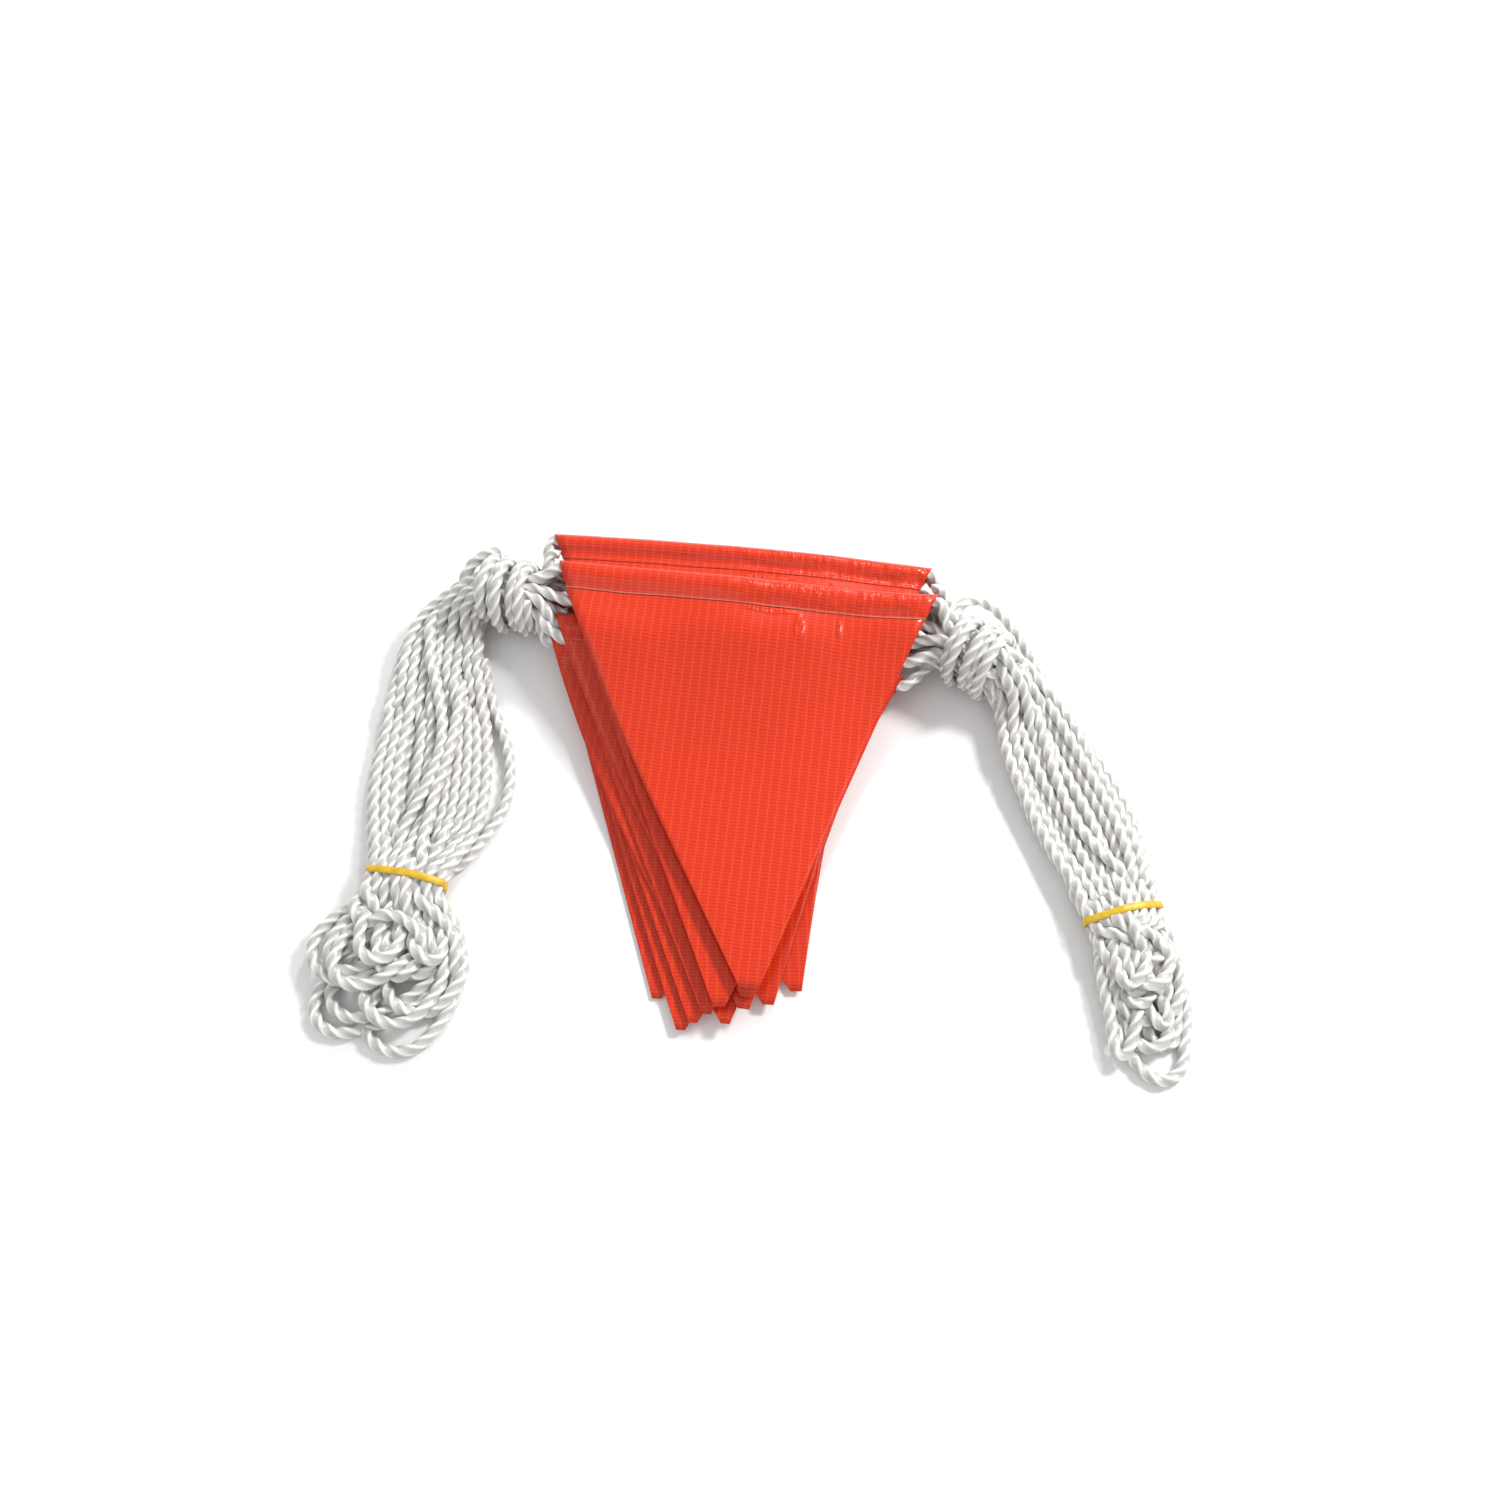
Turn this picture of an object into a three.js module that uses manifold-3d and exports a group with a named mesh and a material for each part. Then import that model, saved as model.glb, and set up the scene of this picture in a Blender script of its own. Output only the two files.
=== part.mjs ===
// A string of orange triangular flags, stacked flat. The white rope that runs through their
// hems is gathered at each side into a knotted hank, held by a rubber band, with loose loops
// at its end. Millimetres, +Z up, everything lies on the surface Z = 0.

import * as THREE from 'three';
import Module from 'manifold-3d';
import { mergeVertices } from 'three/addons/utils/BufferGeometryUtils.js';

const wasm = await Module();
wasm.setup();

// Rope and cloth
const ropeDiameter = 5;
const sheetThickness = 1;
const clearGap = 0.35;

// The hem of a flag: the rope in its sleeve, and the common slope of the hems in degrees
const hemHeight = 5.9;
const ropeInset = 4.4;
const hemSlope = -6.2;

// How the stacked flags part below and above their hems, where the rope holds them open
const partingBelow = { height: 0.3, start: 12, end: 110 };
const partingAbove = { height: 0.3, start: 0, end: 40 };

// Thickness of a flag at a distance below its fold: the rope's sleeve, then the single sheet
const hemSection = [
  { below: -2, thick: sheetThickness },
  { below: 0, thick: 2 },
  { below: 2.2, thick: 5 },
  { below: 4.4, thick: hemHeight },
  { below: 6.4, thick: 4.8 },
  { below: 9, thick: 2.2 },
  { below: 12, thick: 1.3 },
  { below: 15, thick: sheetThickness },
];

// The flags from the bottom up: the middle of the fold, the turn from the common slope of the
// hems in degrees, how far the tip leans to the right of the middle, the tip's width, the hem's,
// how far each side bows out, and the length from fold to tip
const flagRows = [
  { x: -9, y: 67.1, turn: -1.5, lean: 24.5, tip: 5, wide: 179, bowLeft: 3, bowRight: -3, long: 195.1 },
  { x: -9.5, y: 66, turn: 3, lean: -22, tip: 4, wide: 181, bowLeft: 0, bowRight: 3, long: 192 },
  { x: -11, y: 79.7, turn: 7, lean: 29, tip: 5, wide: 180, bowLeft: 3, bowRight: -9, long: 201.7 },
  { x: -8, y: 56.3, turn: 3.3, lean: -13, tip: 4, wide: 171, bowLeft: 2, bowRight: 2, long: 196.8 },
  { x: -7.5, y: 60.9, turn: 1.5, lean: 31, tip: 5, wide: 177, bowLeft: 4, bowRight: -5, long: 187.4 },
  { x: -7.5, y: 48.6, turn: 4.1, lean: -11, tip: 4, wide: 166, bowLeft: 2, bowRight: 2, long: 186.1 },
  { x: -11.8, y: 43.5, turn: -1.5, lean: 25, tip: 4, wide: 175, bowLeft: 7, bowRight: -4, long: 179.5 },
  { x: -7, y: 51.5, turn: 5, lean: -8.5, tip: 4, wide: 166, bowLeft: 2, bowRight: 2, long: 185.5 },
  { x: -9.5, y: 51.5, turn: -1, lean: 29.5, tip: 5, wide: 174, bowLeft: 5, bowRight: -4, long: 181 },
  { x: -5, y: 84, turn: 0, lean: 21.5, tip: 6, wide: 183, bowLeft: 3, bowRight: -1, long: 192 },
  { x: -5, y: 71.2, turn: -1.8, lean: 31, tip: 5, wide: 179, bowLeft: 3, bowRight: -3, long: 196.2 },
  { x: -1, y: 70.8, turn: 6, lean: -12, tip: 5, wide: 174, bowLeft: 1, bowRight: 3, long: 202.8 },
  { x: -5, y: 78, turn: 0, lean: 21.5, tip: 5, wide: 182, bowLeft: 3, bowRight: -1, long: 192 },
  { x: -4, y: 96.4, turn: 0.2, lean: 18, tip: 7, wide: 189, bowLeft: 3, bowRight: -1, long: 192 },
  { x: -4, y: 96.4, turn: -0.2, lean: 20, tip: 7, wide: 190, bowLeft: 3, bowRight: -1, long: 192 },
  { x: -0.5, y: 74.9, turn: -0.4, lean: 23, tip: 8.4, wide: 186, bowLeft: 3.5, bowRight: -3, long: 199 },
];

// The height map's lines, along the middle slope of the hems and across it
const mapSlope = -3.4;
const mapEdges = { left: -118, right: 106, top: 106, hemFoot: 34, bottom: -148 };
const mapColumns = 5;
const hemLines = 16;
const bodyLines = 6;

// A sheet spans the hollows below it in arcs of this radius. Their middles are tried this far
// past the map's ends, and this far apart.
const span = { radius: 200, margin: 80, step: 4 };

// Left hank from the knot to its end: the middle of the bundle, its width and its height
const leftHank = {
  name: 'hank_left',
  side: -1,
  mouth: -103,
  knot: { x: -117, y: 75, z: 20, length: 26, wide: 37, high: 38, heading: 170, turns: 6, lean: 2.5 },
  body: [
    { x: -119, y: 75.5, z: 19, wide: 30, high: 30 },
    { x: -131, y: 78.5, z: 17, wide: 31, high: 29 },
    { x: -143, y: 73.5, z: 12, wide: 39, high: 25 },
    { x: -151, y: 61.5, z: 8.2, wide: 44, high: 18 },
    { x: -154, y: 45, z: 7.2, wide: 46, high: 16 },
    { x: -153.5, y: 22, z: 6.6, wide: 49, high: 14.6 },
    { x: -153, y: 0, z: 6.2, wide: 57, high: 13.4 },
    { x: -153.5, y: -20, z: 6, wide: 62, high: 13 },
    { x: -153.5, y: -38, z: 6.4, wide: 59, high: 13.6 },
    { x: -156, y: -55, z: 7.6, wide: 49, high: 14.6 },
    { x: -159, y: -69, z: 10.6, wide: 32, high: 14 },
    { x: -160.5, y: -77, z: 9.6, wide: 34, high: 15 },
    { x: -162, y: -88, z: 6, wide: 38, high: 12 },
  ],
  band: { x: -159.2, y: -70, z: 10.6, heading: -103, wide: 34.4, high: 16.4, cord: 2.2, spread: 1.6 },
};

// Right hank, in the same words
const rightHank = {
  name: 'hank_right',
  side: 1,
  mouth: 95,
  knot: { x: 109.5, y: 41.5, z: 20, length: 28, wide: 37, high: 38, heading: -31, turns: 6, lean: -2.5 },
  body: [
    { x: 108, y: 42, z: 19, wide: 30, high: 30 },
    { x: 121, y: 34, z: 17, wide: 34, high: 28 },
    { x: 131.5, y: 24, z: 12, wide: 41, high: 23 },
    { x: 138.5, y: 9.5, z: 8, wide: 45, high: 17.5 },
    { x: 145.5, y: -8.5, z: 7, wide: 48, high: 15.4 },
    { x: 153.5, y: -28, z: 6.4, wide: 50, high: 14.2 },
    { x: 161, y: -47, z: 6.4, wide: 50, high: 14.2 },
    { x: 166.5, y: -66, z: 7.4, wide: 44, high: 15.4 },
    { x: 170, y: -86, z: 10.4, wide: 31, high: 13.6 },
    { x: 171.6, y: -95, z: 9.4, wide: 33, high: 14.6 },
    { x: 174, y: -106, z: 6, wide: 37, high: 12 },
  ],
  band: { x: 170.4, y: -88, z: 10.5, heading: -79, wide: 33.6, high: 16.2, cord: 2.2, spread: 2.1 },
};

// Loose loops past the bands, one rope thick: the loop's height where it is farthest out,
// and its route as points on the surface
const leftLoops = [
  { level: 2.9, route: [[-165, -79], [-173, -91], [-184, -107], [-194, -120], [-197, -132], [-189, -141],
    [-174, -140], [-157, -131], [-141, -119], [-134, -107], [-146, -80]] },
  { level: 2.9, route: [[-158, -80], [-161, -108], [-169, -129], [-171, -142], [-160, -150], [-149, -149],
    [-139, -138], [-133, -124], [-132, -110], [-137, -94], [-148, -80]] },
  { level: 7, route: [[-168, -77], [-178, -82], [-190, -88], [-198, -96], [-200, -106], [-194, -116],
    [-182, -119], [-169, -114], [-162, -100], [-161, -80]] },
  { level: 7, route: [[-152, -79], [-141, -98], [-137, -115], [-143, -130], [-155, -139], [-167, -137],
    [-174, -126], [-171, -108], [-161, -80]] },
  { level: 11, route: [[-172, -78], [-181, -86], [-175, -90], [-165, -87], [-154, -91], [-148, -102],
    [-151, -114], [-160, -118], [-168, -113], [-164, -80]] },
  { level: 11, route: [[-168, -78], [-181, -93], [-188, -108], [-187, -118], [-177, -123], [-165, -119],
    [-153, -112], [-146, -102], [-151, -78]] },
];
const rightLoops = [
  { level: 2.9, route: [[182, -90], [190, -98], [194, -110], [194.5, -126], [193, -144], [192, -157],
    [183, -164], [174, -160], [167, -149], [162, -132], [160, -110], [163, -92]] },
  { level: 7, route: [[166, -92], [160, -112], [161, -131], [160, -147], [162, -156], [167, -151],
    [172, -135], [172, -117], [173, -92]] },
  { level: 7, route: [[164, -93], [163, -115], [167, -132], [177, -137], [189, -133], [194, -119],
    [190, -103], [179, -91]] },
  { level: 11, route: [[166, -92], [165, -103], [172, -111], [181, -112], [188, -105], [186, -94],
    [178, -88]] },
  { level: 11, route: [[172, -92], [173, -110], [176, -123], [181, -127], [184, -119], [183, -103],
    [178, -90]] },
];

// Single ropes that stand away from the bundle
const leftStray = [
  [-133, 40, 9], [-128.5, 28, 6.5], [-122.4, 12, 3.5], [-117, -1, 2.6], [-114.9, -16, 2.6],
  [-116.5, -31, 2.6], [-123, -44, 3], [-133, -57, 5], [-142, -66, 8],
];
const leftTurn = [
  [-122, 90, 26], [-130, 93, 30], [-138, 91, 27], [-142, 83, 20], [-140, 74, 14],
];
const rightStray = [
  [99, 52, 30], [102, 64, 31], [111, 69.5, 29], [121, 65, 25], [130, 55, 21], [137, 43, 17],
  [143, 30, 12], [146, 18, 8],
];

const clothMaterial = new THREE.MeshStandardMaterial({ color: 0xf2452b, roughness: 0.38, metalness: 0 });
const ropeMaterial = new THREE.MeshStandardMaterial({ color: 0xe9e8e4, roughness: 0.42, metalness: 0 });
const bandMaterial = new THREE.MeshStandardMaterial({ color: 0xe3ad1c, roughness: 0.5, metalness: 0 });

const radians = THREE.MathUtils.degToRad;

// Value of a table at a place between two of its rows
function between(rows, key, place, column) {
  const last = rows.length - 1;
  if (place <= rows[0][key]) return rows[0][column];
  if (place >= rows[last][key]) return rows[last][column];
  const next = rows.findIndex((row) => row[key] > place);
  const from = rows[next - 1];
  const share = (place - from[key]) / (rows[next][key] - from[key]);
  return THREE.MathUtils.lerp(from[column], rows[next][column], share);
}

// Closed geometry to a solid, and back to a named mesh
function toSolid(geometry) {
  const bare = geometry.clone();
  bare.deleteAttribute('normal');
  bare.deleteAttribute('uv');
  const merged = mergeVertices(bare, 1e-4);
  const mesh = new wasm.Mesh({
    numProp: 3,
    vertProperties: new Float32Array(merged.attributes.position.array),
    triVerts: new Uint32Array(merged.index.array),
  });
  return new wasm.Manifold(mesh);
}

function toMesh(name, solid, material) {
  const { vertProperties, triVerts } = solid.getMesh();
  const geometry = new THREE.BufferGeometry();
  geometry.setAttribute('position', new THREE.BufferAttribute(vertProperties, 3));
  geometry.setIndex(new THREE.BufferAttribute(triVerts, 1));
  geometry.computeVertexNormals();
  const mesh = new THREE.Mesh(geometry, material);
  mesh.name = name;
  return mesh;
}

// A flag's own axes: along its hem, and down from its fold
function flagAxes(flag) {
  const angle = radians(hemSlope + flag.turn);
  return {
    along: new THREE.Vector2(Math.cos(angle), Math.sin(angle)),
    down: new THREE.Vector2(Math.sin(angle), -Math.cos(angle)),
  };
}

function flagPoint(flag, across, below) {
  const { along, down } = flagAxes(flag);
  return new THREE.Vector2(flag.x, flag.y).addScaledVector(along, across).addScaledVector(down, below);
}

function belowFold(flag, x, y) {
  const { down } = flagAxes(flag);
  return (x - flag.x) * down.x + (y - flag.y) * down.y;
}

// Space that one flag takes in the stack: its own thickness, or the parted sheets' distance
function pitch(below) {
  const { smoothstep } = THREE.MathUtils;
  const lower = partingBelow.height * (1 - smoothstep(below, partingBelow.start, partingBelow.end));
  const upper = partingAbove.height * (1 - smoothstep(-below, partingAbove.start, partingAbove.end));
  const parting = below > partingBelow.start ? lower : below < 0 ? upper : 0;
  return clearGap + Math.max(between(hemSection, 'below', below, 'thick'), sheetThickness + parting);
}

// The lines of the height map, closer together in the hems than in the sheets below them
const mapAngle = radians(mapSlope);
const mapAlong = new THREE.Vector2(Math.cos(mapAngle), Math.sin(mapAngle));
const mapUp = new THREE.Vector2(-Math.sin(mapAngle), Math.cos(mapAngle));
const columnLines = [];
for (let i = 0; i <= mapColumns; i++) {
  columnLines.push(THREE.MathUtils.lerp(mapEdges.left, mapEdges.right, i / mapColumns));
}
const rowLines = [];
for (let i = 0; i < hemLines; i++) {
  rowLines.push(THREE.MathUtils.lerp(mapEdges.top, mapEdges.hemFoot, i / hemLines));
}
for (let i = 0; i <= bodyLines; i++) {
  rowLines.push(THREE.MathUtils.lerp(mapEdges.hemFoot, mapEdges.bottom, i / bodyLines));
}

function mapPoint(u, v) {
  return { x: u * mapAlong.x + v * mapUp.x, y: u * mapAlong.y + v * mapUp.y };
}

// One column of the map's heights, as a sheet lies over them
const middles = [];
for (let v = mapEdges.bottom - span.margin; v <= mapEdges.top + span.margin; v += span.step) {
  middles.push(v);
}
function spanned(heights) {
  const rise = (v, middle) => (v - middle) ** 2 / (2 * span.radius);
  const levels = middles.map((middle) => {
    return Math.max(...heights.map((z, row) => z - rise(rowLines[row], middle)));
  });
  return rowLines.map((v) => Math.min(...levels.map((level, i) => level + rise(v, middles[i]))));
}

// Undersides of all the flags in one column of the map. Each one spans what is packed below it,
// and is pressed down where the flag above needs the room.
function stackColumn(u) {
  const taken = flagRows.map((flag) => rowLines.map((v) => {
    const { x, y } = mapPoint(u, v);
    return pitch(belowFold(flag, x, y));
  }));
  const packed = [rowLines.map(() => 0)];
  for (const rooms of taken) packed.push(packed.at(-1).map((z, row) => z + rooms[row]));
  const sheets = [];
  let above = rowLines.map(() => Infinity);
  for (let order = flagRows.length - 1; order >= 0; order--) {
    const free = spanned(packed[order]);
    above = free.map((z, row) => Math.min(z, above[row] - taken[order][row]));
    sheets[order] = above.map((z, row) => ({ down: -rowLines[row], z }));
  }
  return sheets;
}
const undersides = columnLines.map((u) => stackColumn(u));

// Underside of a flag at any place, between the map's lines
function stackHeight(order, x, y) {
  const u = x * mapAlong.x + y * mapAlong.y;
  const v = x * mapUp.x + y * mapUp.y;
  const place = ((u - mapEdges.left) / (mapEdges.right - mapEdges.left)) * mapColumns;
  const column = THREE.MathUtils.clamp(Math.floor(place), 0, mapColumns - 1);
  const [near, far] = [column, column + 1].map((line) => between(undersides[line][order], 'down', -v, 'z'));
  return THREE.MathUtils.lerp(near, far, THREE.MathUtils.clamp(place - column, 0, 1));
}

// Endless cloth at one place of the stack, on the map's lines, before the flag is cut from it.
// All flags share these lines, so that no sheet reaches into the next one.
function blanket(order) {
  const flag = flagRows[order];
  const width = columnLines.length;
  const layer = rowLines.length * width;
  const positions = [];
  for (const top of [0, 1]) {
    rowLines.forEach((v, row) => {
      columnLines.forEach((u, column) => {
        const { x, y } = mapPoint(u, v);
        const thick = between(hemSection, 'below', belowFold(flag, x, y), 'thick');
        positions.push(x, y, undersides[column][order][row].z + top * thick);
      });
    });
  }
  const faces = [];
  const rim = [];
  for (let row = 0; row + 1 < rowLines.length; row++) {
    for (let column = 0; column + 1 < width; column++) {
      const a = row * width + column;
      const b = a + width;
      faces.push(a, b + 1, b, a, a + 1, b + 1);
      faces.push(layer + a, layer + b, layer + b + 1, layer + a, layer + b + 1, layer + a + 1);
    }
  }
  for (let row = 0; row + 1 < rowLines.length; row++) rim.push(row * width);
  for (let column = 0; column + 1 < width; column++) rim.push(layer - width + column);
  for (let row = rowLines.length - 1; row > 0; row--) rim.push((row + 1) * width - 1);
  for (let column = width - 1; column > 0; column--) rim.push(column);
  rim.forEach((from, i) => {
    const to = rim[(i + 1) % rim.length];
    faces.push(from, to, layer + to, from, layer + to, layer + from);
  });
  const geometry = new THREE.BufferGeometry();
  geometry.setAttribute('position', new THREE.Float32BufferAttribute(positions, 3));
  geometry.setIndex(faces);
  return toSolid(geometry);
}

// Upright block over a shape on the surface
function upright(points) {
  const geometry = new THREE.ExtrudeGeometry(new THREE.Shape(points), { depth: 120, bevelEnabled: false });
  geometry.translate(0, 0, -10);
  return toSolid(geometry);
}

// A flag's outline: two sides that bow a little between the fold and the cut-off tip
const sideSteps = 5;
const bowSkew = 0.85;
function flagSide(flag, side) {
  const bow = side < 0 ? flag.bowLeft : flag.bowRight;
  const points = [];
  for (let i = 0; i <= sideSteps; i++) {
    const t = i / sideSteps;
    const across = THREE.MathUtils.lerp((side * flag.wide) / 2, flag.lean + (side * flag.tip) / 2, t);
    const outward = bow * Math.sin(Math.PI * t ** bowSkew);
    points.push(flagPoint(flag, across + side * outward, flag.long * t));
  }
  return points;
}

function flagOutline(flag) {
  return [...flagSide(flag, -1), ...flagSide(flag, 1).reverse()];
}

// A length of rope with flat ends
function rope(points, sides, steps, diameter = ropeDiameter) {
  const section = new THREE.Shape();
  for (let i = 0; i < sides; i++) {
    const angle = (i / sides) * 2 * Math.PI;
    const corner = new THREE.Vector2(Math.cos(angle), Math.sin(angle)).multiplyScalar(diameter / 2);
    if (i === 0) section.moveTo(corner.x, corner.y);
    else section.lineTo(corner.x, corner.y);
  }
  const extrudePath = new THREE.CatmullRomCurve3(points, false, 'centripetal');
  return toSolid(new THREE.ExtrudeGeometry(section, { steps, extrudePath, bevelEnabled: false }));
}

// Skin over a row of sections: place(t, angle, radial) gives each point of a closed round form
function roundForm(sides, steps, place) {
  const geometry = new THREE.CylinderGeometry(1, 1, 1, sides, steps);
  const points = geometry.attributes.position;
  for (let i = 0; i < points.count; i++) {
    const angle = Math.atan2(points.getZ(i), points.getX(i));
    const radial = Math.hypot(points.getX(i), points.getZ(i));
    const point = place(points.getY(i) + 0.5, angle, radial);
    points.setXYZ(i, point.x, point.y, point.z);
  }
  return toSolid(geometry);
}

const up = new THREE.Vector3(0, 0, 1);

// The bundle's body: flat where it lies, with the ropes as ridges that twist round it
function bundle(rows, side) {
  const spine = new THREE.CatmullRomCurve3(rows.map((row) => new THREE.Vector3(row.x, row.y, row.z)));
  const sizes = rows.map((row, index) => ({ ...row, index }));
  const steps = 17;
  const ridges = 8;
  const ridgeDepth = 0.13;
  const twist = side * 1.2;
  return roundForm(2 * ridges, steps, (t, angle, radial) => {
    const centre = spine.getPoint(t);
    const heading = spine.getTangent(t).setZ(0).normalize();
    const across = heading.clone().cross(up);
    const row = t * (rows.length - 1);
    const wide = between(sizes, 'index', row, 'wide') / 2;
    const high = between(sizes, 'index', row, 'high') / 2;
    const reach = radial * (1 - ridgeDepth * (0.5 - 0.5 * Math.cos(ridges * angle)));
    const point = centre.clone().addScaledVector(across, wide * reach * Math.cos(angle + twist * t));
    point.z = Math.max(0, centre.z + high * reach * Math.sin(angle + twist * t));
    return point;
  });
}

// The turns of rope round the bundle that make the knot, as a collar of leaning rings
function knotCollar(knot) {
  const heading = new THREE.Vector3(Math.cos(radians(knot.heading)), Math.sin(radians(knot.heading)), 0);
  const across = heading.clone().cross(up);
  const sides = 12;
  const steps = 2 * knot.turns;
  const ridgeDepth = 0.09;
  const endDraw = 0.14;
  return roundForm(sides, steps, (t, angle, radial) => {
    const groove = Math.round(t * steps) % 2 === 0 ? ridgeDepth : 0;
    const reach = radial * (1 - groove) * (1 - endDraw * Math.abs(2 * t - 1) ** 3);
    const shift = (t - 0.5) * knot.length + knot.lean * Math.sin(angle) * radial;
    const point = new THREE.Vector3(knot.x, knot.y, knot.z).addScaledVector(heading, shift);
    point.addScaledVector(across, (knot.wide / 2) * reach * Math.cos(angle));
    point.z = Math.max(0, knot.z + (knot.high / 2) * reach * Math.sin(angle));
    return point;
  });
}

// The point of a flag's rope at a given x beside the stack, as high as where it leaves the hem
const exitGap = 0.4;
function ropeAt(flag, order, x) {
  const across = (x - flag.x) / flagAxes(flag).along.x;
  const end = flagPoint(flag, Math.sign(across) * (flag.wide / 2), ropeInset);
  const place = flagPoint(flag, across, ropeInset);
  return new THREE.Vector3(place.x, place.y, stackHeight(order, end.x, end.y) + hemHeight / 2);
}

// The ropes between the stack and the knot, as one ridged form: boxy where it takes in the rope
// of every hem, and round at the knot
function gather({ mouth, knot, side }) {
  const ends = new THREE.Box3();
  flagRows.forEach((flag, order) => ends.expandByPoint(ropeAt(flag, order, mouth)));
  ends.expandByScalar(ropeDiameter / 2);
  const size = ends.getSize(new THREE.Vector3());
  const from = ends.getCenter(new THREE.Vector3()).setX(mouth);
  const to = new THREE.Vector3(knot.x, knot.y, knot.z);
  const ridges = 9;
  const ridgeDepth = 0.1;
  const boxiness = 3.2;
  return roundForm(2 * ridges, 3, (t, angle, radial) => {
    const wide = THREE.MathUtils.lerp(size.y, knot.wide * 0.8, t) / 2;
    const high = THREE.MathUtils.lerp(size.z, knot.high * 0.8, t) / 2;
    const power = THREE.MathUtils.lerp(boxiness, 2, t);
    const cos = Math.abs(Math.cos(angle)) ** power;
    const sin = Math.abs(Math.sin(angle)) ** power;
    const ridge = 1 - ridgeDepth * (0.5 - 0.5 * Math.cos(ridges * angle));
    const reach = (radial * ridge) / (cos + sin) ** (1 / power);
    const point = from.clone().lerp(to, t);
    point.y -= side * wide * reach * Math.cos(angle);
    point.z = Math.max(0, point.z + high * reach * Math.sin(angle));
    return point;
  });
}

// Each rope from its hem to the gathered ones. Beside the stack it keeps to its own flag's layer.
const stubDepth = 7;
function hemRope(flag, order, side, layer, mouth) {
  const exit = flag.x + side * (flag.wide / 2 + exitGap) * flagAxes(flag).along.x;
  const start = ropeAt(flag, order, exit);
  const end = ropeAt(flag, order, mouth + side * stubDepth);
  return rope([start, end], 5, 1, ropeDiameter - 0.6).intersect(layer);
}

const loopFullness = 1.15;
function looseLoop(loop, rise) {
  const last = loop.route.length - 1;
  const points = loop.route.map(([x, y], i) => {
    const inBand = Math.abs(i - last / 2) / (last / 2);
    return new THREE.Vector3(x, y, THREE.MathUtils.lerp(loop.level, rise, inBand ** 3));
  });
  return rope(points, 5, points.length + 1, ropeDiameter * loopFullness);
}

function hankSolid(hank, loops, strays, layers) {
  const loopRise = 8;
  const pieces = [bundle(hank.body, hank.side), knotCollar(hank.knot), gather(hank)];
  flagRows.forEach((flag, order) => {
    pieces.push(hemRope(flag, order, hank.side, layers[order], hank.mouth));
  });
  for (const loop of loops) pieces.push(looseLoop(loop, loopRise));
  for (const points of strays) {
    pieces.push(rope(points.map((point) => new THREE.Vector3(...point)), 5, points.length));
  }
  return wasm.Manifold.union(pieces).subtract(bandSolid(hank.band, 2 * clearGap));
}

// Rubber band: a ring pressed to the bundle's oval, its cord flattened along the bundle
function bandSolid(band, extra = 0) {
  const ring = new THREE.TorusGeometry(1, (band.cord + extra) / band.wide, 6, 22);
  const points = ring.attributes.position;
  const heading = new THREE.Vector3(Math.cos(radians(band.heading)), Math.sin(radians(band.heading)), 0);
  const across = heading.clone().cross(up).negate();
  for (let i = 0; i < points.count; i++) {
    const angle = Math.atan2(points.getY(i), points.getX(i));
    const outward = (Math.hypot(points.getX(i), points.getY(i)) - 1) * (band.wide / 2);
    const point = new THREE.Vector3(band.x, band.y, band.z);
    point.addScaledVector(across, (band.wide / 2 + outward) * Math.cos(angle));
    point.z += (band.high / 2 + outward) * Math.sin(angle);
    point.addScaledVector(heading, points.getZ(i) * (band.wide / 2) * band.spread);
    points.setXYZ(i, point.x, point.y, point.z);
  }
  return toSolid(ring);
}

const string = new THREE.Group();
const layers = flagRows.map((flag, order) => blanket(order));

flagRows.forEach((flag, order) => {
  const name = `flag_${String(order + 1).padStart(2, '0')}`;
  const cut = layers[order].intersect(upright(flagOutline(flag)));
  string.add(toMesh(name, cut, clothMaterial));
});
const leftRopes = hankSolid(leftHank, leftLoops, [leftStray, leftTurn], layers);
const rightRopes = hankSolid(rightHank, rightLoops, [rightStray], layers);
string.add(toMesh(leftHank.name, leftRopes, ropeMaterial));
string.add(toMesh(rightHank.name, rightRopes, ropeMaterial));
string.add(toMesh('band_left', bandSolid(leftHank.band), bandMaterial));
string.add(toMesh('band_right', bandSolid(rightHank.band), bandMaterial));

// The origin is the middle of the whole thing, on the surface it lies on
const box = new THREE.Box3().setFromObject(string, true);
const middle = box.getCenter(new THREE.Vector3());
string.position.set(-middle.x, -middle.y, 0);

const bunting = new THREE.Group();
bunting.add(string);

export default bunting;
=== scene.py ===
import math

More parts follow.
